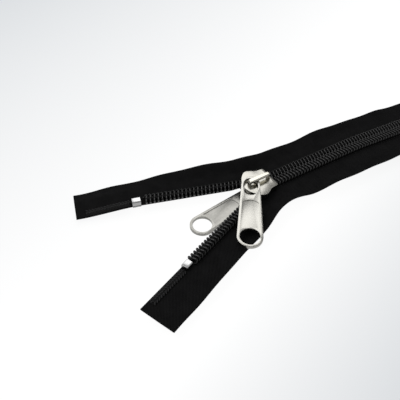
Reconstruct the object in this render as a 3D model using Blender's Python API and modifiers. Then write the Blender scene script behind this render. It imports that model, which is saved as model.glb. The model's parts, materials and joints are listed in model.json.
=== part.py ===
"""Coil zipper with a double-faced slider, partly open, lying on its back.

The row frame: the origin is on the surface the zipper rests on, under the middle of the
slider. +X runs along the closed chain to the bottom stop, +Y to the left tape, +Z up.
The coil is on the upper face of the tapes. Every length below is in millimetres, and
`MM` turns it into metres where a mesh or a curve is made.
"""

import math

import bmesh
import bpy
from mathutils import Matrix, Vector

MM = 0.001
GAP = 0.3  # between pieces that touch on the real zipper
WELD = 0.0005  # a curve's caps share no points with its sides until they are welded

# The tapes, as laid out along the two tooth edges
FORK_X = 3.0  # where the two legs part, inside the slider
LEG_LENGTH = 99.0  # from the fork to a leg's bare end
CHAIN_LENGTH = 166.0  # from the fork to the closed end
LEFT_OPEN = 17.6  # degrees that the left leg stands out from the chain's line
RIGHT_OPEN = 21.0
TAPE_INNER = 1.0  # the woven edge beside the teeth, from the chain's line
TAPE_OUTER = 19.6
TAPE_THICK = 0.65
TAPE_LIFT = 4.85  # underside of the tape above the surface, in the slider
LIFT_END = 60.0  # the chain starts to come down here and lies flat from FLAT_FROM
FLAT_FROM = 134.0
LEFT_TIP_DROP = 2.7  # how far a leg's tooth edge comes down past its stop
RIGHT_TIP_DROP = 0.3
EDGE_FROM = 11.0  # the tape is plane out to here; its outer strip curls

# How far a tape's outer edge stands over its tooth edge, at distances from the fork
LEFT_CURL = ((0, 4.0), (22, 3.8), (40, 1.4), (58, -0.2), (80, -2.3), (99, -2.1))
RIGHT_CURL = ((0, 3.5), (22, 2.6), (40, 2.0), (58, 1.7), (80, 0.9), (99, -0.6))
CHAIN_CURL = ((0, 3.4), (26, 1.3), (60, 1.3), (134, 0.0))

# The coil and what holds it, in a leg's own cross-section
COIL_START = 1.15  # clear of the fork, where the coil bends
COIL_OUT = 5.25
COIL_IN = 0.15
COIL_HIGH = 2.3
LOOP_WALL = 0.85
CORD_WIDE = 1.9
CORD_HIGH = 0.85
THREAD_WIDE = 1.3
THREAD_HIGH = 0.3
TAIL_WIDE = 3.6  # the ridge that the coil leaves where it is cut away
TAIL_HIGH = 1.3
TAIL_BARE = 5.0  # bare tape past the ridge

# Stops
TOP_STOP_AT = 65.5  # from the fork
STOP_LONG = 4.5
STOP_WALL = 0.55
STOP_ROUND = 0.45
STOP_OUT = 3.9
CHAIN_STOPS_APART = 200.0

# The slider
SLIDER_REAR = 7.5
SLIDER_FRONT = -9.2
PLATE_LOW_THICK = 1.2
PLATE_TOP_THICK = 1.35
TUNNEL = 2.3
STRAP_THICK = 1.0
STRAP_HALF = 1.45
STRAP_FOOT = 1.2
STRAP_REACH = 6.9
CHANNEL_HALF = 5.6
CHANNEL_OPEN = 21.3
WEDGE_POINT = -0.6
WEDGE_HALF = 2.9

# The pulls
PULL_THICK = 1.5
PULL_REACH = 33.4  # from the eye's centre to the finger hole's
EYE_HALF_LONG = 6.0
EYE_HALF_WIDE = 3.85
EYE_POWER = 2.6  # 2 is an ellipse, and more is squarer
EYE_RIM_END = 1.3
EYE_RIM_SIDE = 1.05
FINGER_HOLE_R = 5.1
FINGER_R = 6.45
RECESS_DEEP = 0.3
RECESS_RIM = 1.25
FRONT_YAW = 54.5  # degrees that a pull is turned from the slider's own line
BACK_YAW = 8.0
FRONT_SAG = 1.3  # degrees that its far end hangs below level
BACK_SAG = 1.6
FRONT_PIVOT_X = -1.3
BACK_PIVOT_X = 2.1

PLATE_LOW_Z = STRAP_THICK + TUNNEL
SLOT_LOW_Z = PLATE_LOW_Z + PLATE_LOW_THICK
TAPE_TOP = TAPE_LIFT + TAPE_THICK
COIL_LOW = TAPE_TOP + GAP
COIL_TOP = COIL_LOW + COIL_HIGH
PLATE_TOP_LOW = COIL_TOP + GAP
PLATE_TOP_Z = PLATE_TOP_LOW + PLATE_TOP_THICK
STRAP_LOW_Z = PLATE_TOP_Z + TUNNEL
BACK_PIVOT_Z = STRAP_THICK + TUNNEL / 2
FRONT_PIVOT_Z = PLATE_TOP_Z + TUNNEL / 2
BOTTOM_STOP_X = FORK_X + CHAIN_STOPS_APART - TOP_STOP_AT

BLACK_TAPE = ((0.009, 0.009, 0.010), 0.85, 0.0)
BLACK_NYLON = ((0.006, 0.006, 0.006), 0.28, 0.0)
BLACK_THREAD = ((0.012, 0.012, 0.013), 0.70, 0.0)
NICKEL = ((0.62, 0.60, 0.55), 0.28, 1.0)
STOP_ALLOY = ((0.72, 0.72, 0.72), 0.30, 1.0)


def new_collection(name):
    collection = bpy.data.collections.new(name)
    bpy.context.scene.collection.children.link(collection)
    return collection


def clear_scene():
    for obj in list(bpy.data.objects):
        bpy.data.objects.remove(obj, do_unlink=True)


clear_scene()
PARTS = new_collection("zipper")
CUTTERS = new_collection("cutters")


def material(name, look):
    """A Principled material from a colour, a roughness and a metallic value."""
    colour, roughness, metallic = look
    made = bpy.data.materials.new(name)
    made.use_nodes = True
    shader = made.node_tree.nodes["Principled BSDF"]
    shader.inputs["Base Color"].default_value = (*colour, 1.0)
    shader.inputs["Roughness"].default_value = roughness
    shader.inputs["Metallic"].default_value = metallic
    return made


def add_part(name, mesh, look, smooth=35):
    """Link a mesh as a named sub-part with its own material."""
    obj = bpy.data.objects.new(name, mesh)
    PARTS.objects.link(obj)
    mesh.materials.clear()
    mesh.materials.append(material(name, look))
    mesh.shade_smooth()
    mesh.set_sharp_from_angle(angle=math.radians(smooth))
    return obj


def smoothstep(t):
    t = min(1.0, max(0.0, t))
    return t * t * (3 - 2 * t)


def eased_ramp(t, ease=0.18):
    """1 before t = 0 and 0 after t = 1, straight between but for its rounded ends."""
    if t <= 0:
        return 1.0
    if t >= 1:
        return 0.0
    slope = 1 / (1 - ease)
    if t < ease:
        return 1 - slope * t * t / (2 * ease)
    if t > 1 - ease:
        return slope * (1 - t) ** 2 / (2 * ease)
    return 1 - slope * (t - ease / 2)


# ---------------------------------------------------------------- heights of the tapes


def chain_lift(along):
    """Underside of the closed chain's tape, at `along` from the fork."""
    return TAPE_LIFT * eased_ramp((FORK_X + along - LIFT_END) / (FLAT_FROM - LIFT_END))


def leg_lift(along, tip_drop):
    """Underside of a leg's tape at the tooth edge: level to the stop, then sagging."""
    past_stop = smoothstep((along - TOP_STOP_AT) / (LEG_LENGTH - TOP_STOP_AT))
    return TAPE_LIFT - tip_drop * past_stop


def curl_at(along, curl):
    """The outer edge's rise at a distance from the fork, eased between the given ones."""
    for (first, rise), (last, next_rise) in zip(curl, curl[1:]):
        if along <= last:
            return rise + (next_rise - rise) * smoothstep((along - first) / (last - first))
    return curl[-1][1]


def tape_height(along, out, strip):
    """Underside of a strip's tape at `along` from the fork and `out` from the teeth."""
    edge = smoothstep((out - EDGE_FROM) / (TAPE_OUTER - EDGE_FROM))
    return strip.lift(along) + curl_at(along, strip.curl) * edge


# ------------------------------------------------------------------- strips of the zipper


class Strip:
    """One stretch of one side: the closed chain or an open leg, left or right."""

    def __init__(self, name, side, leg):
        self.name = name
        self.side = side
        self.leg = leg
        self.open = LEFT_OPEN if side > 0 else RIGHT_OPEN
        self.length = LEG_LENGTH if leg else CHAIN_LENGTH
        self.tip_drop = LEFT_TIP_DROP if side > 0 else RIGHT_TIP_DROP
        self.curl = (LEFT_CURL if side > 0 else RIGHT_CURL) if leg else CHAIN_CURL

    def lift(self, along):
        return leg_lift(along, self.tip_drop) if self.leg else chain_lift(along)

    def place(self):
        """From the strip's own frame to the row frame, in millimetres.

        In its own frame x runs away from the fork and y away from the teeth.
        """
        turn = Matrix.Identity(4)
        if self.leg:
            swing = math.radians(180 - self.side * self.open)
            turn = Matrix.Rotation(swing, 4, "Z")
        flip = -self.side if self.leg else self.side
        mirror = Matrix.Diagonal((1, flip, 1, 1))
        return Matrix.Translation((FORK_X, 0, 0)) @ turn @ mirror

    def finish(self, mesh):
        """Turn a mesh in the strip's frame into row-frame metres, facing out."""
        matrix = self.place()
        mesh.transform(Matrix.Diagonal((MM, MM, MM, 1)) @ matrix)
        if matrix.determinant() < 0:
            mesh.flip_normals()
        mesh.update()
        return mesh


def tape(strip):
    """A woven tape: a sheet displaced to its drape, then given its thickness."""
    along_steps = 26 if strip.leg else 34
    across_steps = 7
    mesh = bpy.data.meshes.new(strip.name)
    sheet = bmesh.new()
    bmesh.ops.create_grid(
        sheet, x_segments=along_steps, y_segments=across_steps, size=0.5
    )
    miter = math.tan(math.radians(strip.open / 2))
    for vert in sheet.verts:
        out = TAPE_INNER + (vert.co.y + 0.5) * (TAPE_OUTER - TAPE_INNER)
        start = GAP / 2 + out * miter
        along = start + (vert.co.x + 0.5) * (strip.length - start)
        vert.co = Vector((along, out, tape_height(along, out, strip)))
    sheet.to_mesh(mesh)
    sheet.free()
    strip.finish(mesh)
    obj = add_part(strip.name + "_tape", mesh, BLACK_TAPE)
    thick = obj.modifiers.new("thickness", "SOLIDIFY")
    thick.thickness = TAPE_THICK * MM
    thick.offset = 1 if upward(mesh) else -1
    return obj


def upward(mesh):
    return sum(face.normal.z for face in mesh.polygons) > 0


def profile_curve(name, corners):
    """A closed outline in its own XY plane, to be swept along a path."""
    data = bpy.data.curves.new(name, "CURVE")
    data.dimensions = "2D"
    data.fill_mode = "NONE"
    spline = data.splines.new("POLY")
    spline.points.add(len(corners) - 1)
    for point, (x, y) in zip(spline.points, corners):
        point.co = (x, y, 0, 1)
    spline.use_cyclic_u = True
    obj = bpy.data.objects.new(name, data)
    CUTTERS.objects.link(obj)
    obj.hide_render = True
    obj.display_type = "WIRE"
    return obj


def evaluated_mesh(obj, name, weld):
    """The mesh that a curve comes to, its caps welded on and its faces outward."""
    depsgraph = bpy.context.evaluated_depsgraph_get()
    mesh = bpy.data.meshes.new_from_object(obj.evaluated_get(depsgraph))
    mesh.name = name
    mesh.transform(obj.matrix_world)
    work = bmesh.new()
    work.from_mesh(mesh)
    bmesh.ops.remove_doubles(work, verts=work.verts, dist=weld)
    bmesh.ops.recalc_face_normals(work, faces=work.faces)
    if work.calc_volume(signed=True) < 0:
        bmesh.ops.reverse_faces(work, faces=work.faces)
    work.to_mesh(mesh)
    work.free()
    bpy.data.objects.remove(obj, do_unlink=True)
    return mesh


def sweep(strip, part, corners, start, end, look, step=6.0):
    """A profile swept along a strip; its y is height over the tape's underside."""
    profile = profile_curve(strip.name + part + "_profile", corners)
    count = max(2, round((end - start) / step) + 1)
    data = bpy.data.curves.new(strip.name + part, "CURVE")
    data.dimensions = "3D"
    data.twist_mode = "Z_UP"
    data.bevel_mode = "OBJECT"
    data.bevel_object = profile
    data.use_fill_caps = True
    path = data.splines.new("POLY")
    path.points.add(count - 1)
    for i, point in enumerate(path.points):
        along = start + (end - start) * i / (count - 1)
        point.co = (along, 0, strip.lift(along), 1)
    obj = bpy.data.objects.new(strip.name + part, data)
    PARTS.objects.link(obj)
    bpy.context.view_layer.update()
    mesh = evaluated_mesh(obj, strip.name + part, WELD)
    bpy.data.objects.remove(profile, do_unlink=True)
    strip.finish(mesh)
    return add_part(strip.name + part, mesh, look)


def over_tape(low, high, inner, outer):
    """A rectangle's corners, for a piece that lies on the tape.

    A path that runs to +x has its profile's x to its right, so y away from the teeth is -x.
    """
    return [(-inner, low), (-outer, low), (-outer, high), (-inner, high)]


def coil_profile():
    """The coil's envelope: a loop over the cord, open below where the thread is sewn."""
    low = COIL_LOW - TAPE_LIFT
    high = low + COIL_HIGH
    corner = 0.5
    inside_in = COIL_IN + LOOP_WALL
    inside_out = COIL_OUT - LOOP_WALL
    roof = high - LOOP_WALL + 0.25
    return [
        (-COIL_IN, low + corner),
        (-COIL_IN - 0.2, low),
        (-inside_in, low),
        (-inside_in, roof),
        (-inside_out, roof),
        (-inside_out, low),
        (-COIL_OUT + 0.2, low),
        (-COIL_OUT, low + corner),
        (-COIL_OUT, high - corner),
        (-COIL_OUT + corner, high),
        (-COIL_IN - corner, high),
        (-COIL_IN, high - corner),
    ]


def teeth_and_sewing(strip):
    """The coil, the cord it is wound round and the thread that sews it to the tape."""
    end = TOP_STOP_AT - GAP if strip.leg else BOTTOM_STOP_X - FORK_X - GAP
    middle = (COIL_IN + COIL_OUT) / 2
    thread_low = COIL_LOW - TAPE_LIFT
    cord_low = thread_low + THREAD_HIGH + GAP / 2
    sweep(strip, "_coil", coil_profile(), COIL_START, end, BLACK_NYLON)
    thread = over_tape(
        thread_low,
        thread_low + THREAD_HIGH,
        middle - THREAD_WIDE / 2,
        middle + THREAD_WIDE / 2,
    )
    sweep(strip, "_stitching", thread, COIL_START, end, BLACK_THREAD)
    cord = over_tape(
        cord_low, cord_low + CORD_HIGH, middle - CORD_WIDE / 2, middle + CORD_WIDE / 2
    )
    sweep(strip, "_cord", cord, COIL_START, end, BLACK_THREAD)


def tail_cord(strip):
    """The sewn ridge past the stop, where the coil has been cut away."""
    stop_end = TOP_STOP_AT if strip.leg else BOTTOM_STOP_X - FORK_X
    start = stop_end + STOP_LONG + GAP
    end = strip.length - TAIL_BARE
    low = COIL_LOW - TAPE_LIFT
    inner = TAPE_INNER - 0.4
    ridge = [
        (-inner, low),
        (-inner - TAIL_WIDE, low),
        (-inner - TAIL_WIDE, low + TAIL_HIGH - 0.5),
        (-inner - TAIL_WIDE + 0.6, low + TAIL_HIGH),
        (-inner - 0.6, low + TAIL_HIGH),
        (-inner, low + TAIL_HIGH - 0.5),
    ]
    sweep(strip, "_tail_cord", ridge, start, end, BLACK_THREAD, step=4.0)


def top_stop(strip):
    """A metal clip bent round the tape's edge at the end of the coil."""
    inner_low = -GAP
    inner_high = TAPE_THICK + GAP
    outer_low = inner_low - STOP_WALL
    outer_high = inner_high + COIL_HIGH - 0.1
    inside = TAPE_INNER - GAP
    clip = [
        (-COIL_IN, outer_low + 0.3),
        (-COIL_IN - 0.3, outer_low),
        (-STOP_OUT, outer_low),
        (-STOP_OUT, inner_low),
        (-inside, inner_low),
        (-inside, inner_high),
        (-STOP_OUT, inner_high),
        (-STOP_OUT, outer_high - STOP_ROUND),
        (-STOP_OUT + STOP_ROUND, outer_high),
        (-COIL_IN - STOP_ROUND, outer_high),
        (-COIL_IN, outer_high - STOP_ROUND),
    ]
    side = strip.name.split("_")[0]
    part = Strip(side, strip.side, True)
    sweep(
        part, "_top_stop", clip, TOP_STOP_AT, TOP_STOP_AT + STOP_LONG, STOP_ALLOY, 2.3
    )


def bottom_stop():
    """A metal bar crimped across both tapes at the closed end of the coil."""
    mesh = bpy.data.meshes.new("bottom_stop")
    work = bmesh.new()
    bmesh.ops.create_cube(work, size=1)
    size = Vector((STOP_LONG, 2 * COIL_OUT + 0.8, COIL_HIGH + 0.2))
    bmesh.ops.scale(work, vec=size, verts=work.verts)
    middle = Vector(
        (
            BOTTOM_STOP_X + STOP_LONG / 2,
            0,
            TAPE_THICK + GAP + size.z / 2,
        )
    )
    bmesh.ops.translate(work, vec=middle, verts=work.verts)
    bmesh.ops.scale(work, vec=Vector((MM, MM, MM)), verts=work.verts)
    work.to_mesh(mesh)
    work.free()
    obj = add_part("bottom_stop", mesh, STOP_ALLOY)
    rounding = obj.modifiers.new("rounding", "BEVEL")
    rounding.width = 0.7 * MM
    rounding.segments = 3
    return obj


# ----------------------------------------------------------------------------- the slider


def flat_outline(name, outlines, low, high):
    """A solid between two heights, from closed outlines; inner ones are holes."""
    data = bpy.data.curves.new(name, "CURVE")
    data.dimensions = "2D"
    data.fill_mode = "BOTH"
    data.extrude = (high - low) / 2 * MM
    for outline in outlines:
        spline = data.splines.new("POLY")
        spline.points.add(len(outline) - 1)
        for point, (x, y) in zip(spline.points, outline):
            point.co = (x * MM, y * MM, 0, 1)
        spline.use_cyclic_u = True
    obj = bpy.data.objects.new(name, data)
    obj.location.z = (low + high) / 2 * MM
    PARTS.objects.link(obj)
    bpy.context.view_layer.update()
    return evaluated_mesh(obj, name, WELD * MM)


def boolean(obj, mesh, operation):
    """Cut a mesh from an object, or join it on, and keep the result."""
    tool = bpy.data.objects.new(mesh.name, mesh)
    CUTTERS.objects.link(tool)
    tool.hide_render = True
    tool.display_type = "WIRE"
    modifier = obj.modifiers.new(operation.lower(), "BOOLEAN")
    modifier.operation = operation
    modifier.solver = "EXACT"
    modifier.object = tool
    return tool


def through_points(points, steps=4):
    """A smooth outline through a few points (Catmull-Rom)."""
    outline = []
    for i in range(len(points) - 1):
        p0 = Vector(points[max(i - 1, 0)])
        p1 = Vector(points[i])
        p2 = Vector(points[i + 1])
        p3 = Vector(points[min(i + 2, len(points) - 1)])
        for k in range(steps):
            t = k / steps
            curve = (
                2 * p1
                + (p2 - p0) * t
                + (2 * p0 - 5 * p1 + 4 * p2 - p3) * t * t
                + (3 * p1 - p0 - 3 * p2 + p3) * t**3
            )
            outline.append((curve.x / 2, curve.y / 2))
    outline.append(points[-1])
    return outline


def mirrored(half):
    """A closed outline from its +y half, which starts and ends near the x axis."""
    other = [(x, -y) for x, y in reversed(half) if y > 1e-6]
    return half + other


def slider_outline():
    """The plates seen from above: wide shoulders, a waist and a square rear."""
    shoulder = through_points(
        [
            (SLIDER_FRONT, 0.0),
            (-8.5, 3.3),
            (-6.3, 6.9),
            (-3.6, 9.3),
            (-1.5, 9.7),
            (0.6, 8.9),
            (2.8, 7.6),
            (5.0, 7.1),
            (SLIDER_REAR - 0.5, 7.0),
        ]
    )
    return mirrored(shoulder + [(SLIDER_REAR, 6.5)])


def channel_outline():
    """The Y-shaped way through the slider, for the coil above the tape."""
    bend_x = FORK_X + 1.0
    front_x = SLIDER_FRONT - 6
    spread = math.tan(math.radians(CHANNEL_OPEN)) * (bend_x - front_x)
    return mirrored(
        [
            (front_x, 0.0),
            (front_x, CHANNEL_HALF + spread),
            (bend_x, CHANNEL_HALF),
            (SLIDER_REAR + 2, CHANNEL_HALF),
            (SLIDER_REAR + 2, 0.0),
        ]
    )


def wedge_outline():
    """The post that parts the legs and joins the two plates."""
    front = SLIDER_FRONT + 1.3
    return mirrored(
        [
            (front, 0.0),
            (front, WEDGE_HALF - 0.8),
            (front + 0.7, WEDGE_HALF),
            (front + 1.6, WEDGE_HALF),
            (WEDGE_POINT, 0.25),
        ]
    )


def slider_body():
    """Two plates with flanges on the top one, joined by the wedge."""
    block = flat_outline(
        "slider_body", [slider_outline()], TAPE_TOP + GAP, PLATE_TOP_Z
    )
    obj = add_part("slider_body", block, NICKEL)
    channel = flat_outline("channel", [channel_outline()], TAPE_TOP - 1, PLATE_TOP_LOW)
    boolean(obj, channel, "DIFFERENCE")
    low_plate = flat_outline(
        "low_plate", [slider_outline()], PLATE_LOW_Z, SLOT_LOW_Z
    )
    wedge = flat_outline(
        "wedge", [wedge_outline()], SLOT_LOW_Z - 0.5, PLATE_TOP_LOW + 0.5
    )
    boolean(obj, wedge, "UNION")
    boolean(obj, low_plate, "UNION")
    return obj


def bridge(name, foot_z, strap_z, outward):
    """A strap that holds a pull: level over the plate, with a foot at each end."""
    far = strap_z + outward * STRAP_THICK
    foot = foot_z + outward * GAP * 0.8
    inside = STRAP_REACH - 1.4
    bend = 0.8
    half = [
        (STRAP_REACH, foot),
        (STRAP_REACH, far - outward * bend),
        (STRAP_REACH - bend, far),
    ]
    under = [
        (inside - 0.4, strap_z),
        (inside, strap_z - outward * 0.4),
        (inside, foot),
    ]
    side = half + [(-x, z) for x, z in reversed(half)]
    side += [(-x, z) for x, z in reversed(under)] + under
    mesh = flat_outline(name, [side], -STRAP_HALF, STRAP_HALF)
    mesh.transform(Matrix.Rotation(math.radians(90), 4, "X"))
    obj = add_part(name, mesh, NICKEL)
    narrow = flat_outline(
        name + "_plan", [strap_plan()], min(foot, far) - 1, max(foot, far) + 1
    )
    boolean(obj, narrow, "INTERSECT")
    return obj


def strap_plan():
    """The strap from above: full width over the middle, narrow rounded ends."""
    end = STRAP_REACH + 0.05
    return mirrored(
        [
            (-end, 0.0),
            (-end, STRAP_FOOT - 0.5),
            (-end + 0.5, STRAP_FOOT),
            (-end + 1.6, STRAP_FOOT),
            (-end + 2.6, STRAP_HALF - 0.02),
            (end - 2.6, STRAP_HALF - 0.02),
            (end - 1.6, STRAP_FOOT),
            (end - 0.5, STRAP_FOOT),
            (end, STRAP_FOOT - 0.5),
            (end, 0.0),
        ]
    )


# ------------------------------------------------------------------------------ the pulls


def oval(half_long, half_wide, power, steps, first=0.0, last=360.0):
    """Points on |u/a|^p + |v/b|^p = 1 between two angles, in degrees."""
    points = []
    for i in range(steps + 1):
        angle = math.radians(first + (last - first) * i / steps)
        c, s = math.cos(angle), math.sin(angle)
        radius = (abs(c / half_long) ** power + abs(s / half_wide) ** power) ** (
            -1 / power
        )
        points.append((radius * c, radius * s))
    return points


def pull_outline():
    """Round the eye, along two straight tapering sides and round the finger end."""
    eye = oval(
        EYE_HALF_LONG + EYE_RIM_END, EYE_HALF_WIDE + EYE_RIM_SIDE, EYE_POWER, 18, 90, 270
    )
    finger = [
        (PULL_REACH + FINGER_R * math.cos(a), FINGER_R * math.sin(a))
        for a in (math.radians(-88 + 176 * i / 18) for i in range(19))
    ]
    return eye + finger


def eye_hole():
    return oval(EYE_HALF_LONG, EYE_HALF_WIDE, EYE_POWER, 28)[:-1]


def finger_hole():
    return [
        (PULL_REACH + FINGER_HOLE_R * math.cos(a), FINGER_HOLE_R * math.sin(a))
        for a in (math.radians(360 * i / 28) for i in range(28))
    ]


def recess_outline():
    """The sunk panel: an arch at the eye's end, and hollowed round the finger hole."""
    taper = (FINGER_R - EYE_HALF_WIDE - EYE_RIM_SIDE) / PULL_REACH

    def half_width(u):
        return EYE_HALF_WIDE + EYE_RIM_SIDE + taper * u - RECESS_RIM

    arch_from = EYE_HALF_LONG + 3.6
    arch_deep = 2.4
    panel_end = PULL_REACH - FINGER_HOLE_R - 0.9
    arch = []
    for i in range(9):
        t = -1 + 2 * i / 8
        u = arch_from + arch_deep * (1 - math.sqrt(1 - (0.96 * t) ** 2))
        arch.append((u, t * half_width(u)))
    hollow = []
    for i in range(7):
        t = 1 - 2 * i / 6
        u = panel_end + 1.4 * abs(t) ** 2
        hollow.append((u, t * half_width(u)))
    return arch + hollow


def ring_touch(yaw):
    """The rearmost point of the eye's ring when the pull is turned by yaw.

    It is the support point of the ring's middle line in the slider's +X direction.
    """
    a = EYE_HALF_LONG + EYE_RIM_END / 2
    b = EYE_HALF_WIDE + EYE_RIM_SIDE / 2
    nu, nv = math.cos(math.radians(yaw)), math.sin(math.radians(yaw))
    q = EYE_POWER / (EYE_POWER - 1)
    norm = ((a * nu) ** q + (b * nv) ** q) ** (1 / EYE_POWER)
    u = a * (a * nu) ** (1 / (EYE_POWER - 1)) / norm
    v = b * (b * nv) ** (1 / (EYE_POWER - 1)) / norm
    return -u, v


def pull(name, pivot, yaw, sag):
    """A flat pull: an eye round the strap, a tapering plate and a finger hole."""
    half = PULL_THICK / 2
    plate = flat_outline(
        name, [pull_outline(), eye_hole(), finger_hole()], -half, half
    )
    touch_u, touch_v = ring_touch(yaw)
    move = Matrix.Translation(Vector((-touch_u, -touch_v, 0)) * MM)
    plate.transform(move)
    obj = add_part(name, plate, NICKEL)
    turn = Matrix.Rotation(math.radians(180 + yaw), 4, "Z")
    tip = Matrix.Rotation(math.radians(sag), 4, "Y")
    place = Matrix.Translation(Vector(pivot) * MM) @ turn @ tip
    obj.matrix_world = place
    for low, high in ((half - RECESS_DEEP, half + 1), (-half - 1, RECESS_DEEP - half)):
        recess = flat_outline(name + "_recess", [recess_outline()], low, high)
        recess.transform(move)
        cutter = boolean(obj, recess, "DIFFERENCE")
        cutter.matrix_world = place
    return obj


STRIPS = [
    Strip("left", 1, False),
    Strip("right", -1, False),
    Strip("left_leg", 1, True),
    Strip("right_leg", -1, True),
]
for one in STRIPS:
    tape(one)
    teeth_and_sewing(one)
    tail_cord(one)
    if one.leg:
        top_stop(one)
bottom_stop()
slider_body()
bridge("front_bridge", PLATE_TOP_Z, STRAP_LOW_Z, 1)
bridge("back_bridge", PLATE_LOW_Z, STRAP_THICK, -1)
pull("front_pull", (FRONT_PIVOT_X, 0, FRONT_PIVOT_Z), FRONT_YAW, FRONT_SAG)
pull("back_pull", (BACK_PIVOT_X, 0, BACK_PIVOT_Z), BACK_YAW, BACK_SAG)
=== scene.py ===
"""The looks of the coil zipper: woven tapes, wound coils, sewing and satin nickel.

Lengths are in millimetres, and MM turns them into metres where a mesh, a light or the
camera is made.

Places on a zipper: along is measured from the fork, negative on a leg and positive on the
chain; out is measured from the chain's middle line; side is 1 for the left half, -1 for
the right.
"""

import json
import math

import bmesh
import bpy
import numpy as np
from mathutils import Matrix, Vector


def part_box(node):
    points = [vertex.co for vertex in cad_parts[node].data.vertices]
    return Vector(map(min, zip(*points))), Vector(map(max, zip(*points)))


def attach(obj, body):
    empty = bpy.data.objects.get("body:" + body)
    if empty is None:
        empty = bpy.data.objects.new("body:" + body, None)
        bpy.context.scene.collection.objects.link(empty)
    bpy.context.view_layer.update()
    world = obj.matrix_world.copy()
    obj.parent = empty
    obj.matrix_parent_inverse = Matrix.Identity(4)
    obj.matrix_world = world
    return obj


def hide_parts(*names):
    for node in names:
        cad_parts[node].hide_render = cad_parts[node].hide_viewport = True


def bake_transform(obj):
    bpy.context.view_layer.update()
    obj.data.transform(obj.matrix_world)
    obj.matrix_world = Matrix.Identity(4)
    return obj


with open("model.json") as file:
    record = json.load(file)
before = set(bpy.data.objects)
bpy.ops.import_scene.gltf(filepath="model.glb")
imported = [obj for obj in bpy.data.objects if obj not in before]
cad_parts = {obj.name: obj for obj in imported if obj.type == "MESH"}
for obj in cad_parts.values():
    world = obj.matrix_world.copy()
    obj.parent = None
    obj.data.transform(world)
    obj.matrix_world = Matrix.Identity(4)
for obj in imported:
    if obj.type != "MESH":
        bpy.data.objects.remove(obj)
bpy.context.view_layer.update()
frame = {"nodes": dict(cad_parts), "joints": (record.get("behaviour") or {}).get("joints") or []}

MM = 0.001
JOINTS = {joint["name"]: joint for joint in frame["joints"]}


def box_mm(node):
    """A CAD node's lowest and highest corners, in millimetres."""
    low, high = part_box(node)
    return np.array(low) / MM, np.array(high) / MM


def joint_place(name):
    return np.array(JOINTS[name]["pos_m"]) / MM


# ------------------------------------------------------------- sizes, read from the frame

FORK_X = joint_place("left_leg_close")[0]
OPEN = {
    1: math.radians(JOINTS["left_leg_close"]["range_deg"][1]),
    -1: math.radians(JOINTS["right_leg_close"]["range_deg"][1]),
}
SIDES = {1: "left", -1: "right"}
CHAIN_END = box_mm("left_tape")[1][0] - FORK_X
TAPE_OUTER = box_mm("left_tape")[1][1]
TAPE_INNER = box_mm("left_tape")[0][1]
COIL_OUT = box_mm("left_coil")[1][1]
COIL_TOP = box_mm("left_leg_coil")[1][2]
COIL_END = box_mm("left_coil")[1][0] - FORK_X
BOTTOM_STOP = box_mm("bottom_stop")
TAPE_THICK = 0.65
TEETH_TALL = 3.25  # from the tape's underside to the top of the coil
TAPE_LIFT = COIL_TOP - TEETH_TALL
TAPE_TOP = TAPE_LIFT + TAPE_THICK
LEG_LENGTH = 99.0
TOP_STOP_AT = 65.5
STOP_LONG = BOTTOM_STOP[1][0] - BOTTOM_STOP[0][0]
LIFT_END = 60.0  # the chain starts to come down here
FLAT_FROM = 134.0  # and lies flat from here on
EDGE_FROM = 11.0  # the tape's edge starts to curl up this far out

TAPE_BEND = (22.0, -14.0)  # where a tape starts and ends its turn into a leg
COIL_BEND = (6.5, -11.0)  # the coil turns inside the slider

PITCH = 2.1
FILAMENT_R = 0.5
UNDER_HEADS = 0.93  # how far the tape reaches in under the heads, clear of the slider
SLANT = 0.34  # a top leg's lean along the tape, in pitches
HEAD_REACH = -0.72  # how far a tooth's head passes the chain's middle line
COIL_START = 1.8  # from a top stop's middle to the first turn
COIL_SPARE = 1.0  # from the last turn to the coil's end
COIL_CUT = 6  # points left off by the top stop, where they would stick out past it


def smoothstep(t):
    t = np.clip(t, 0.0, 1.0)
    return t * t * (3 - 2 * t)


def eased_ramp(t, ease=0.18):
    """1 before t = 0 and 0 after t = 1, straight between but for its rounded ends."""
    t = np.clip(t, 0.0, 1.0)
    slope = 1 / (1 - ease)
    first = 1 - slope * t * t / (2 * ease)
    last = slope * (1 - t) ** 2 / (2 * ease)
    middle = 1 - slope * (t - ease / 2)
    return np.where(t < ease, first, np.where(t > 1 - ease, last, middle))


# -------------------------------------------------------------------- how the zipper lies

TIP_DROP = {1: 2.7, -1: 0.3}  # how far a leg's tooth edge comes down past its stop
EDGE_RISE = {  # (along, how far the outer edge stands over the tape beside the teeth)
    1: (
        (-99, -2.1),
        (-80, -2.3),
        (-58, -0.2),
        (-40, 1.4),
        (-22, 3.8),
        (-8, 4.8),
        (12, 3.0),
        (30, 1.6),
    ),
    -1: (
        (-99, -0.6),
        (-80, 0.9),
        (-58, 1.7),
        (-40, 2.0),
        (-22, 2.6),
        (-6, 3.6),
        (6, 3.4),
        (26, 1.2),
    ),
}
EDGE_SMOOTHING = (-7.0, -3.5, 3.5, 7.0)  # the rise is averaged with its value this far off
LOWEST = 0.02  # the tape's underside stays this far over the surface
RIPPLE = 0.5
SETTLING_ROUNDS = 40


def lift(along, side):
    """Underside of the tape beside the teeth."""
    past = smoothstep((-along - TOP_STOP_AT) / (LEG_LENGTH - TOP_STOP_AT))
    leg = TAPE_LIFT - TIP_DROP[side] * past
    chain = TAPE_LIFT * eased_ramp((FORK_X + along - LIFT_END) / (FLAT_FROM - LIFT_END))
    return np.where(along < 0, leg, chain)


def edge_rise(along, side):
    places, rises = zip(*EDGE_RISE[side])
    near = np.interp(along, places, rises)
    for shift in EDGE_SMOOTHING:
        near = near + np.interp(along + shift, places, rises)
    mean = near / (len(EDGE_SMOOTHING) + 1)
    return mean * np.where(along > 0, lift(along, side) / TAPE_LIFT, 1.0)


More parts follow.
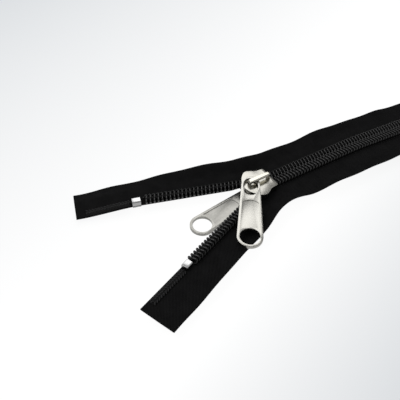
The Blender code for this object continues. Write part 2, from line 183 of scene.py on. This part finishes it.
def ripple(along, side):
    """Slow waves along a tape's loose edge, a little different on the two tapes."""
    phase = 0.9 if side > 0 else 2.6
    wave = np.sin(along / 7.3 + phase) + 0.6 * np.sin(along / 4.1 + 2.2 * phase)
    return RIPPLE * wave * smoothstep((lift(along, side) - 0.2) / 2.0)


def tape_low(along, out, side):
    """Underside of the tape at a point on it."""
    edge = smoothstep((out - EDGE_FROM) / (TAPE_OUTER - EDGE_FROM))
    low = lift(along, side) + (edge_rise(along, side) + ripple(along, side)) * edge
    return np.maximum(low, LOWEST)


def opened(points, side, bend):
    """Turn straight, closed points into the open zipper's, about the fork.

    A point's share of the turn depends on where it ends up, so x is worked out by repeating.
    """
    start, end = bend
    closed = points - np.array([FORK_X, 0.0, 0.0])
    x = points[:, 0].copy()
    for _ in range(SETTLING_ROUNDS):
        share = smoothstep((start - x) / (start - end))
        turn = -side * OPEN[side] * share
        x = FORK_X + closed[:, 0] * np.cos(turn) - closed[:, 1] * np.sin(turn)
    y = closed[:, 0] * np.sin(turn) + closed[:, 1] * np.cos(turn)
    return np.stack([x, y, points[:, 2]], axis=1)


def lay(along, out, high, side, bend):
    """Points from places on the closed zipper; high is over the tape's top."""
    along, out, high = np.broadcast_arrays(along, out, high)
    z = lift(along, side) + TAPE_THICK + high
    straight = np.stack([FORK_X + along, side * out, z], axis=1)
    return opened(straight, side, bend)


# ------------------------------------------------------------------------ mesh and pieces


def in_scene(name, data):
    obj = bpy.data.objects.new(name, data)
    bpy.context.scene.collection.objects.link(obj)
    return obj


def mesh_object(name, points, faces):
    mesh = bpy.data.meshes.new(name)
    mesh.from_pydata((np.asarray(points) * MM).tolist(), [], faces)
    mesh.update()
    return in_scene(name, mesh)


def evaluated_mesh(obj):
    """What an object's modifiers, or a curve's thickness, make of it."""
    bpy.context.view_layer.update()
    depsgraph = bpy.context.evaluated_depsgraph_get()
    return bpy.data.meshes.new_from_object(obj.evaluated_get(depsgraph))


def smooth(obj, angle=60):
    obj.data.shade_smooth()
    obj.data.set_sharp_from_angle(angle=math.radians(angle))
    return obj


def dress(obj, look):
    obj.data.materials.clear()
    obj.data.materials.append(look)
    return obj


def tubes(name, lines, radius, sides=8):
    """One mesh of round threads along polylines of points in millimetres."""
    data = bpy.data.curves.new(name, "CURVE")
    data.dimensions = "3D"
    data.bevel_depth = radius * MM
    data.bevel_resolution = max(0, sides // 2 - 2)
    data.use_fill_caps = True
    for line in lines:
        spline = data.splines.new("POLY")
        spline.points.add(len(line) - 1)
        flat = np.ones((len(line), 4))
        flat[:, :3] = np.asarray(line) * MM
        spline.points.foreach_set("co", flat.ravel())
    curve = in_scene(name + "_line", data)
    mesh = evaluated_mesh(curve)
    mesh.name = name
    bpy.data.objects.remove(curve, do_unlink=True)
    return smooth(in_scene(name, mesh))


# ------------------------------------------------------------------------------ materials

RIB_PITCH = 0.82  # of the twill's ribs, across the tape
YARN_PITCH = 0.42
FLOOR_TILT = -0.38  # the white diagonal's slope
FLOOR_WHITE = 0.03  # metres of plain white on each side of the diagonal
FLOOR_FADE_FAR, FLOOR_FADE_NEAR = 0.26, 0.088  # metres from white to grey


class Nodes:
    """A short way to build a material's node tree."""

    def __init__(self, name):
        self.material = bpy.data.materials.new(name)
        self.material.use_nodes = True
        self.tree = self.material.node_tree
        self.shader = self.tree.nodes["Principled BSDF"]

    def add(self, kind, **values):
        node = self.tree.nodes.new("ShaderNode" + kind)
        for key, value in values.items():
            if hasattr(node, key):
                setattr(node, key, value)
            else:
                node.inputs[key.replace("_", " ")].default_value = value
        return node

    def link(self, source, target):
        self.tree.links.new(source, target)

    def math(self, operation, a, b=None):
        node = self.add("Math", operation=operation)
        for socket, value in zip(node.inputs, (a, b)):
            if value is None:
                continue
            if isinstance(value, (int, float)):
                socket.default_value = value
            else:
                self.link(value, socket)
        return node.outputs[0]

    def ramp(self, source, stops):
        node = self.add("ValToRGB")
        elements = node.color_ramp.elements
        while len(elements) < len(stops):
            elements.new(0.5)
        for element, (place, colour) in zip(elements, stops):
            element.position = place
            element.color = (*colour, 1.0)
        self.link(source, node.inputs[0])
        return node.outputs[0]

    def mix(self, share, a, b):
        node = self.add("Mix", data_type="RGBA")
        for socket, value in zip((node.inputs[0], node.inputs[6], node.inputs[7]), (share, a, b)):
            if isinstance(value, tuple):
                socket.default_value = (*value, 1.0)
            elif isinstance(value, (int, float)):
                socket.default_value = value
            else:
                self.link(value, socket)
        return node.outputs[2]

    def noise(self, vector, scale, detail=3.0, roughness=0.55):
        node = self.add("TexNoise", Scale=scale, Detail=detail, Roughness=roughness)
        self.link(vector, node.inputs["Vector"])
        return node.outputs[0]

    def bump(self, height, strength, distance):
        node = self.add("Bump", Strength=strength, Distance=distance)
        self.link(height, node.inputs["Height"])
        self.link(node.outputs[0], self.shader.inputs["Normal"])
        return node

    def place(self):
        """The point in the piece's own frame, in metres."""
        return self.add("TexCoord").outputs["Object"]

    def set(self, **values):
        for key, value in values.items():
            self.shader.inputs[key.replace("_", " ")].default_value = value


def tape_look():
    """Black polyester tape: a fine twill with a plain selvage along each edge."""
    n = Nodes("woven_tape")
    weave = n.add("Attribute", attribute_name="weave").outputs["Vector"]
    split = n.add("SeparateXYZ")
    n.link(weave, split.inputs[0])
    along, out = split.outputs[0], split.outputs[1]
    rib = 2 * math.pi / RIB_PITCH
    diagonal = n.math("ADD", n.math("MULTIPLY", along, rib * 0.8), n.math("MULTIPLY", out, rib))
    twill = n.math("SINE", diagonal)
    weft = n.math("SINE", n.math("MULTIPLY", along, 2 * math.pi / YARN_PITCH))
    warp = n.math("SINE", n.math("MULTIPLY", out, 2 * math.pi / YARN_PITCH))
    grain = n.math("MULTIPLY", weft, warp)
    height = n.math("ADD", n.math("MULTIPLY", twill, 0.6), n.math("MULTIPLY", grain, 0.4))
    cloudy = n.noise(weave, 0.16, 4.0)
    lint = n.noise(weave, 2.3, 5.0, 0.7)
    shade = n.math("ADD", n.math("MULTIPLY", height, 0.22), n.math("MULTIPLY", lint, 0.5))
    shade = n.math("ADD", shade, n.math("MULTIPLY", cloudy, 0.35))
    colour = n.ramp(shade, [(0.18, (0.004, 0.004, 0.0042)), (0.62, (0.021, 0.0208, 0.0213))])
    n.link(colour, n.shader.inputs["Base Color"])
    n.set(Roughness=0.92, Specular_IOR_Level=0.05)
    n.bump(height, 0.35, 0.00008)
    return n.material


def filament_look():
    """Glossy nylon monofilament with faint drawing lines."""
    n = Nodes("nylon_filament")
    streak = n.noise(n.place(), 900.0, 2.0)
    colour = n.ramp(streak, [(0.3, (0.0015, 0.0015, 0.0016)), (0.7, (0.004, 0.004, 0.0043))])
    n.link(colour, n.shader.inputs["Base Color"])
    rough = n.math("ADD", n.math("MULTIPLY", n.noise(n.place(), 260.0, 2.0), 0.12), 0.16)
    n.link(rough, n.shader.inputs["Roughness"])
    n.set(Specular_IOR_Level=0.75)
    n.bump(streak, 0.08, 0.00003)
    return n.material


def thread_look(name, light):
    """Twisted polyester thread."""
    n = Nodes(name)
    twist = n.add("TexWave", wave_type="BANDS", bands_direction="DIAGONAL", Scale=1500.0)
    twist.inputs["Distortion"].default_value = 1.5
    n.link(n.place(), twist.inputs["Vector"])
    low = tuple(0.45 * c for c in light)
    colour = n.ramp(twist.outputs["Fac"], [(0.2, low), (0.8, light)])
    n.link(colour, n.shader.inputs["Base Color"])
    n.set(Roughness=0.6, Specular_IOR_Level=0.25)
    n.bump(twist.outputs["Fac"], 0.5, 0.00005)
    return n.material


def metal_look(name, colour, rough, speckle=0.0, walls=0.45):
    """Satin nickel plate: faint tumbling marks, a fine speckle, and painted shade that darkens
    the side walls.
    """
    n = Nodes(name)
    place = n.place()
    cloud = n.noise(place, 130.0, 3.0)
    fine = n.noise(place, 2200.0, 2.0, 0.6)
    grain = n.noise(place, 700.0, 3.0, 0.6)
    dark = tuple(c * (0.92 - 0.32 * speckle) for c in colour)
    tone = n.math("ADD", n.math("MULTIPLY", cloud, 0.6), n.math("MULTIPLY", grain, 0.4))
    base = n.ramp(tone, [(0.3, dark), (0.62, colour)])
    # Painted shade: the more upright a face, the darker its colour, standing in for the dark
    # reflections on the side walls.
    split = n.add("SeparateXYZ")
    n.link(n.add("TexCoord").outputs["Normal"], split.inputs[0])
    level = n.math("ABSOLUTE", split.outputs[2])
    painted_wall_shade = n.ramp(level, [(0.25, (walls, walls, walls)), (0.8, (1.0, 1.0, 1.0))])
    toned = n.add("Mix", data_type="RGBA", blend_type="MULTIPLY")
    toned.inputs[0].default_value = 1.0
    n.link(base, toned.inputs[6])
    n.link(painted_wall_shade, toned.inputs[7])
    n.link(toned.outputs[2], n.shader.inputs["Base Color"])
    spread = n.math("MULTIPLY", n.math("SUBTRACT", grain, 0.5), 0.10 + 0.15 * speckle)
    wander = n.math("MULTIPLY", n.math("SUBTRACT", cloud, 0.5), 0.12)
    n.link(n.math("ADD", n.math("ADD", spread, wander), rough), n.shader.inputs["Roughness"])
    n.set(Metallic=1.0)
    mixed = n.math("ADD", n.math("MULTIPLY", fine, 0.5), n.math("MULTIPLY", grain, 0.5))
    n.bump(mixed, 0.015 + 0.15 * speckle, 0.00002)
    return n.material


def glowing_floor_look():
    """A pale sweep that glows, white along one diagonal and a soft grey away from it; the glow is
    painted light.
    """
    n = Nodes("glowing_pale_floor")
    split = n.add("SeparateXYZ")
    n.link(n.place(), split.inputs[0])
    across = n.math("ADD", n.math("MULTIPLY", split.outputs[0], FLOOR_TILT), split.outputs[1])
    over = n.math("MAXIMUM", n.math("SUBTRACT", across, FLOOR_WHITE), 0.0)
    under = n.math("MAXIMUM", n.math("SUBTRACT", -FLOOR_WHITE, across), 0.0)
    far = n.math("MULTIPLY", over, 1 / FLOOR_FADE_FAR)
    near = n.math("MULTIPLY", under, 1 / FLOOR_FADE_NEAR)
    stops = [(0.0, (1.0, 1.0, 1.0)), (1.0, (0.70, 0.72, 0.74))]
    colour = n.ramp(n.math("ADD", far, near), stops)
    # Painted light: the floor glows in its own colour and keeps under a fifth of that colour as
    # its lit colour, so shadows barely show.
    n.link(colour, n.shader.inputs["Emission Color"])
    n.link(n.mix(0.82, colour, (0.0, 0.0, 0.0)), n.shader.inputs["Base Color"])
    n.set(Roughness=0.9, Specular_IOR_Level=0.05, Emission_Strength=0.95)
    return n.material


# ------------------------------------------------------------------------------ the tapes

TAPE_GRID = (332, 27)  # points along and across
SCALLOP, SCALLOP_PITCH = 0.07, 1.6  # the weft's turns at each edge
FORK_CLEAR = 12.0  # a leg's tape reaches in under the heads from this far, past the slider
REACH_EASE = 6.0  # the length over which it comes to reach in fully
BEAD, BEAD_AT = 0.10, 0.6  # a thicker line near each edge
EDGE_ROUND = 0.22


def woven_tape(side, look):
    """One tape from its bare leg end to its bare closed end, as a sheet with thickness."""
    name = SIDES[side]
    columns, rows = TAPE_GRID
    along = np.linspace(-LEG_LENGTH, CHAIN_END, columns)
    share = np.linspace(0, 1, rows)
    grid_s, grid_v = np.meshgrid(along, share, indexing="ij")
    at_edge = (np.abs(grid_v - 0.5) * 2) ** 30
    scallop = SCALLOP * np.sin(grid_s * 2 * math.pi / SCALLOP_PITCH) * at_edge
    clear = np.where(grid_s < 0, -grid_s - FORK_CLEAR, grid_s)
    inner = TAPE_INNER - UNDER_HEADS * smoothstep(clear / REACH_EASE)
    width = TAPE_OUTER - inner
    out = inner + grid_v * width + scallop * np.where(grid_v > 0.5, 1, -1)
    s, w = grid_s.ravel(), out.ravel()
    low = tape_low(s, w, side)
    edge = np.minimum(w - inner.ravel(), TAPE_OUTER - w)
    bead = BEAD * np.exp(-((edge - BEAD_AT) ** 2) / 0.18)
    rounded = EDGE_ROUND * np.exp(-edge / 0.16)
    layers = []
    for high in (0.0, 1.0):
        thick = high * TAPE_THICK + (bead - rounded) * (high - 0.5) * 2
        points = np.stack([FORK_X + s, side * w, np.maximum(low + thick, 0.0)], axis=1)
        layers.append(opened(points, side, TAPE_BEND))
    count = columns * rows
    index = np.arange(count).reshape(columns, rows)
    a, b = index[:-1, :-1], index[1:, :-1]
    c, d = index[1:, 1:], index[:-1, 1:]
    quads = np.stack([a, b, c, d], axis=-1).reshape(-1, 4)
    top = quads + count
    faces = [*quads[:, ::-1].tolist(), *top.tolist()]
    rim = [*index[:, 0], *index[-1, 1:], *index[-2::-1, -1], *index[0, -2:0:-1]]
    for first, second in zip(rim, rim[1:] + rim[:1]):
        faces.append([int(first), int(second), int(second + count), int(first + count)])
    obj = mesh_object(name + "_woven_tape", np.vstack(layers), faces)
    weave = obj.data.attributes.new("weave", "FLOAT_VECTOR", "POINT")
    flat = np.stack([s, w, np.zeros_like(s)], axis=1)
    weave.data.foreach_set("vector", np.vstack([flat, flat]).astype(np.float32).ravel())
    if side < 0:
        obj.data.flip_normals()
    smooth(obj, 70)
    dress(obj, look)
    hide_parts(name + "_tape", name + "_leg_tape")
    bend(obj, side, TAPE_BEND)


def bend(obj, side, zone):
    """Bake the piece's placing into its mesh."""
    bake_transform(obj)
    return obj


# ------------------------------------------------------------------- coils, cords, sewing

STITCH_ROWS = ((1.75, 0.0), (3.95, 0.5))  # how far out each row runs, and its sway's phase
THREAD_R = 0.13
TUCK_LONG = 1.3
TUCK_OUT = 5.33
PLIES = 3
PLY_R = 0.44
PLY_LAY = 5.2  # the length of one turn of the cord's twist
CORD_MIDDLE = (2.6, 1.28)  # out, and height over the tape
CORD_REACH = (0.42, 0.2)  # of a ply's middle from the cord's, outwards and upwards
TAIL_INNER, TAIL_WIDE, TAIL_HIGH = 0.75, 3.4, 0.95
TAIL_POINTS = 15  # across the ridge
TAIL_STEP = 0.35
TAIL_GAP = 0.2  # past the stop
TAIL_BARE = 5.0  # left at the tape's end
TAIL_STITCHES = ((3.75, 1.1, 0.66), (2.3, -0.6, 0.92))  # out, lean, height over the tape
STITCH_LONG, STITCH_STEP, STITCH_R = 1.15, 1.55, 0.2
FAR = 400.0  # a bend this far away leaves a piece wholly on one body


def turns(side):
    """The places of one coil's top legs; the two coils are half a pitch apart."""
    first = math.ceil((-TOP_STOP_AT + COIL_START) / PITCH)
    last = math.floor((COIL_END - COIL_SPARE) / PITCH)
    shift = 0.25 if side > 0 else -0.25
    return [(k + shift) * PITCH for k in range(first, last + 1)]


def coil_line(side):
    """The filament: top leg, down round the outer edge, bottom leg, up round the head."""
    high = COIL_TOP - TAPE_TOP - FILAMENT_R
    low = FILAMENT_R
    rise = (high - low) / 2
    middle = (high + low) / 2
    outer = COIL_OUT - FILAMENT_R - rise
    inner = HEAD_REACH + FILAMENT_R + rise * 0.7
    line = []
    for s in turns(side):
        for t in (0.0, 0.35, 0.7, 1.0):
            lean = SLANT * PITCH * (t - 0.5)
            dip = 0.28 * (1 - t) ** 3
            line.append((s + lean, inner + t * (outer - inner), high - dip))
        for i in range(1, 6):
            a = math.pi / 2 - math.pi * i / 6
            fall = 0.5 - 0.5 * math.sin(a)
            along = s + PITCH * (0.5 * SLANT - (0.3 + SLANT) * fall)
            line.append((along, outer + rise * math.cos(a), middle + rise * math.sin(a)))
        line.append((s - PITCH * (0.3 + 0.5 * SLANT), outer, low))
        line.append((s - PITCH * (0.95 + 0.5 * SLANT), inner + 0.6, low))
        for i in range(1, 6):
            a = -math.pi / 2 - math.pi * i / 6
            along = s - PITCH * (1 + 0.5 * SLANT)
            out = inner + 0.7 * rise * math.cos(a)
            line.append((along, out, middle + rise * math.sin(a)))
    return np.array(line)


def ordered_coil(side):
    """The same filament with its turns running one way along the tape."""
    line = coil_line(side)
    per_turn = len(line) // len(turns(side))
    blocks = line.reshape(-1, per_turn, 3)[::-1]
    return blocks.reshape(-1, 3)[:-COIL_CUT]


def coil(side, look):
    name = SIDES[side]
    line = ordered_coil(side)
    obj = tubes(name + "_wound_coil", [line + [FORK_X, 0, 0]], FILAMENT_R, 8)
    remap(obj, side, COIL_BEND)
    dress(obj, look)
    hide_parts(name + "_coil", name + "_leg_coil")
    return bend(obj, side, COIL_BEND)


def remap(obj, side, zone):
    """Lay a straight piece's points, at (x, out, height over the tape), on the zipper."""
    count = len(obj.data.vertices)
    flat = np.empty(count * 3, np.float32)
    obj.data.vertices.foreach_get("co", flat)
    points = flat.reshape(-1, 3).astype(float) / MM
    moved = lay(points[:, 0] - FORK_X, points[:, 1], points[:, 2], side, zone) * MM
    obj.data.vertices.foreach_set("co", moved.astype(np.float32).ravel())
    if side < 0:
        obj.data.flip_normals()
    obj.data.update()
    return obj


def sewn_rows(side, look):
    """Chain stitches over the top legs, and the tucks where they enter the tape."""
    name = SIDES[side]
    top = COIL_TOP - TAPE_TOP
    lines = []
    for out, phase in STITCH_ROWS:
        line = []
        for s in turns(side):
            for t in (-0.5, -0.32, -0.14, 0.0, 0.14, 0.32):
                over = math.cos(math.pi * t) ** 2
                sway = 0.16 * math.sin(2 * math.pi * (t + phase))
                line.append((FORK_X + s + t * PITCH, out + sway, top - 0.62 + 0.68 * over))
        lines.append(np.array(line))
    for s in turns(side):
        tuck = []
        for t in (0, 0.25, 0.5, 0.75, 1):
            x = FORK_X + s - 0.75 + TUCK_LONG * t
            tuck.append((x, TUCK_OUT + 0.05 * t, 0.02 + 0.2 * math.sin(math.pi * t)))
        lines.append(np.array(tuck))
    obj = tubes(name + "_sewn_rows", lines, THREAD_R, 6)
    remap(obj, side, COIL_BEND)
    dress(obj, look)
    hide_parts(name + "_stitching", name + "_leg_stitching")
    return bend(obj, side, COIL_BEND)


def filler_cord(side, look):
    """The three-ply cord that each coil is wound round."""
    name = SIDES[side]
    places = np.arange(turns(side)[0] - 0.5, turns(side)[-1] + 0.5, 0.55)
    lines = []
    for ply in range(PLIES):
        angle = 2 * math.pi * (places / PLY_LAY + ply / PLIES)
        out = CORD_MIDDLE[0] + CORD_REACH[0] * np.cos(angle)
        high = CORD_MIDDLE[1] + CORD_REACH[1] * np.sin(angle)
        lines.append(np.stack([FORK_X + places, out, high], axis=1))
    obj = tubes(name + "_filler_cord", lines, PLY_R, 8)
    remap(obj, side, COIL_BEND)
    dress(obj, look)
    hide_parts(name + "_cord", name + "_leg_cord")
    return bend(obj, side, COIL_BEND)


def ride_tail(obj, side, leg):
    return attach(obj, SIDES[side] + "_leg" if leg else "chain")


def lay_rigid(obj, side, leg):
    """Lay a piece that is wholly on a leg or wholly on the chain."""
    zone = (FAR, FAR - 1) if leg else (1 - FAR, -FAR)
    return remap(obj, side, zone)


def tail_ridge(side, leg, look, thread):
    """The flattened cord and its sewing, past a stop where the coil is cut away."""
    name = SIDES[side] + ("_leg" if leg else "")
    sign = -1 if leg else 1
    stop = TOP_STOP_AT if leg else BOTTOM_STOP[0][0] - FORK_X
    start = stop + STOP_LONG + TAIL_GAP
    end = (LEG_LENGTH if leg else CHAIN_END) - TAIL_BARE
    steps = int((end - start) / TAIL_STEP)
    inner, wide, high = TAIL_INNER, TAIL_WIDE, TAIL_HIGH
    around = TAIL_POINTS
    points, faces = [], []
    rng = np.random.default_rng(11 + side + 2 * leg)
    for i in range(steps + 1):
        s = start + (end - start) * i / steps
        close = min(1.0, (i + 0.6) / 4, (steps - i + 0.6) / 4)
        wobble = rng.uniform(-0.05, 0.05)
        for k in range(around):
            a = math.pi * k / (around - 1)
            rib = 0.10 * math.sin(s * 2 * math.pi / 1.4 + 2.2 * math.cos(a)) * math.sin(a)
            groove = 0.22 * math.exp(-((math.cos(a) + 0.25) ** 2) / 0.02)
            reach = (wide / 2) * (0.75 + 0.25 * close)
            out = inner + wide / 2 - reach * math.copysign(abs(math.cos(a)) ** 0.7, math.cos(a))
            tall = close * high * math.sin(a) ** 0.6 + rib - groove * close + wobble * math.sin(a)
            points.append((FORK_X + sign * s, out, max(tall, -0.02)))
    for i in range(steps):
        for k in range(around - 1):
            a, b = i * around + k, i * around + k + 1
            faces.append([a, b, b + around, a + around])
        faces.append([i * around, (i + 1) * around, (i + 2) * around - 1, (i + 1) * around - 1])
    faces.append(list(range(around))[::-1])
    faces.append([steps * around + k for k in range(around)])
    ridge = mesh_object(name + "_tail_ridge", points, faces)
    if leg:
        ridge.data.flip_normals()
    lay_rigid(ridge, side, leg)
    smooth(ridge, 75)
    dress(ridge, look)
    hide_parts(name + "_tail_cord")
    ride_tail(ridge, side, leg)
    lines = []
    s = start + 0.6
    while s < end - 1.0:
        for out, lean, high_at in TAIL_STITCHES:
            line = []
            for t in np.linspace(0, 1, 6):
                x = FORK_X + sign * (s + STITCH_LONG * t)
                bow = 0.3 * math.sin(math.pi * t)
                line.append((x, out + lean * (t - 0.5), high_at - 0.12 + bow))
            lines.append(np.array(line))
        s += STITCH_STEP
    rows = tubes(name + "_tail_sewing", lines, STITCH_R, 6)
    if leg:
        rows.data.flip_normals()
    lay_rigid(rows, side, leg)
    dress(rows, thread)
    ride_tail(rows, side, leg)


# ------------------------------------------------------------------------- the metal parts


def rounded_copy(node, name, width):
    """A CAD solid's own shape with its edges rounded."""
    mesh = frame["nodes"][node].data.copy()
    mesh.name = name
    work = bmesh.new()
    work.from_mesh(mesh)
    bmesh.ops.remove_doubles(work, verts=work.verts, dist=1e-7)
    bmesh.ops.dissolve_limit(
        work, angle_limit=math.radians(1), verts=work.verts, edges=work.edges
    )
    work.to_mesh(mesh)
    work.free()
    obj = in_scene(name, mesh)
    rounding = obj.modifiers.new("rounding", "BEVEL")
    rounding.width = width * MM
    rounding.segments = 3
    rounding.limit_method = "ANGLE"
    rounding.angle_limit = math.radians(30)
    rounding.harden_normals = False
    shape = evaluated_mesh(obj)
    obj.modifiers.clear()
    obj.data = shape
    return smooth(obj, 38)


def metal_piece(node, body, look, width):
    obj = rounded_copy(node, node + "_plated", width)
    dress(obj, look)
    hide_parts(node)
    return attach(obj, body)


# -------------------------------------------------------------------------- floor and light

FLOOR_REACH = 3000.0
FLOOR_GAP = 0.05
LAMPS = (  # name, place in metres, size in metres, power in watts
    ("key", (-0.45, 0.25, 0.80), 0.6, 1.1),
    ("card", (0.20, 0.48, 0.52), 0.5, 0.75),
    ("fill", (0.50, -0.40, 0.70), 0.5, 0.4),
)
WORLD_STRENGTH = 0.24
CAMERA_AIM = (-33.0, 5.5)  # on the zipper's plan, at the height of the coil's top
CAMERA_ANGLES = (-32.9, 46.0, 1.7)  # turn about the vertical, height over the floor, roll
CAMERA_DISTANCE = 0.308  # metres
CAMERA_LENS = 54.0


def studio(look):
    low, high, under = -FLOOR_REACH, FLOOR_REACH, -FLOOR_GAP
    corners = [(low, low, under), (high, low, under), (high, high, under), (low, high, under)]
    floor = mesh_object("floor", corners, [[0, 1, 2, 3]])
    floor.data.materials.append(look)
    world = bpy.data.worlds.new("studio")
    bpy.context.scene.world = world
    world.use_nodes = True
    background = world.node_tree.nodes["Background"]
    background.inputs["Color"].default_value = (1.0, 1.0, 1.0, 1.0)
    background.inputs["Strength"].default_value = WORLD_STRENGTH
    for name, place, size, power in LAMPS:
        light = bpy.data.lights.new(name, "AREA")
        light.shape = "DISK"
        light.size = size
        light.energy = power
        lamp = in_scene(name, light)
        lamp.location = place
        lamp.rotation_euler = (-Vector(place)).to_track_quat("-Z", "Y").to_euler()


def camera():
    """From above the open end, with the chain running away to the right."""
    look_at = Vector((*CAMERA_AIM, COIL_TOP)) * MM
    turn, raised, roll = (math.radians(angle) for angle in CAMERA_ANGLES)
    back = Vector(
        (
            math.sin(turn) * math.cos(raised),
            -math.cos(turn) * math.cos(raised),
            math.sin(raised),
        )
    )
    data = bpy.data.cameras.new("camera")
    data.lens = CAMERA_LENS
    data.clip_start = 0.01
    obj = in_scene("camera", data)
    obj.location = look_at + back * CAMERA_DISTANCE
    level = back.to_track_quat("Z", "Y")
    obj.rotation_euler = (level @ Matrix.Rotation(roll, 3, "Z").to_quaternion()).to_euler()
    bpy.context.scene.camera = obj


bpy.context.scene.view_settings.view_transform = "Standard"
camera()
studio(glowing_floor_look())
TAPE = tape_look()
NYLON = filament_look()
CORD = thread_look("corded_ridge", (0.006, 0.006, 0.0063))
THREAD = thread_look("sewing_thread", (0.022, 0.022, 0.023))
TAIL_THREAD = thread_look("tail_thread", (0.07, 0.07, 0.072))
SLIDER = metal_look("nickel_slider", (0.64, 0.625, 0.57), 0.20)
PULL = metal_look("nickel_pull", (0.70, 0.685, 0.635), 0.26)
BACK_PULL = metal_look("nickel_back_pull", (0.60, 0.59, 0.55), 0.34, 1.0)
BRIDGE = metal_look("polished_bridge", (0.80, 0.775, 0.69), 0.12)
STOP = metal_look("bright_stop", (0.80, 0.80, 0.80), 0.22)
for one in SIDES:
    woven_tape(one, TAPE)
    coil(one, NYLON)
    sewn_rows(one, THREAD)
    filler_cord(one, CORD)
    for on_leg in (True, False):
        tail_ridge(one, on_leg, CORD, TAIL_THREAD)
    metal_piece(SIDES[one] + "_top_stop", SIDES[one] + "_leg", STOP, 0.28)
metal_piece("bottom_stop", "chain", STOP, 0.2)
metal_piece("slider_body", "slider", SLIDER, 0.32)
metal_piece("front_bridge", "slider", BRIDGE, 0.3)
metal_piece("back_bridge", "slider", BRIDGE, 0.3)
metal_piece("front_pull", "front_pull", PULL, 0.24)
metal_piece("back_pull", "back_pull", BACK_PULL, 0.24)
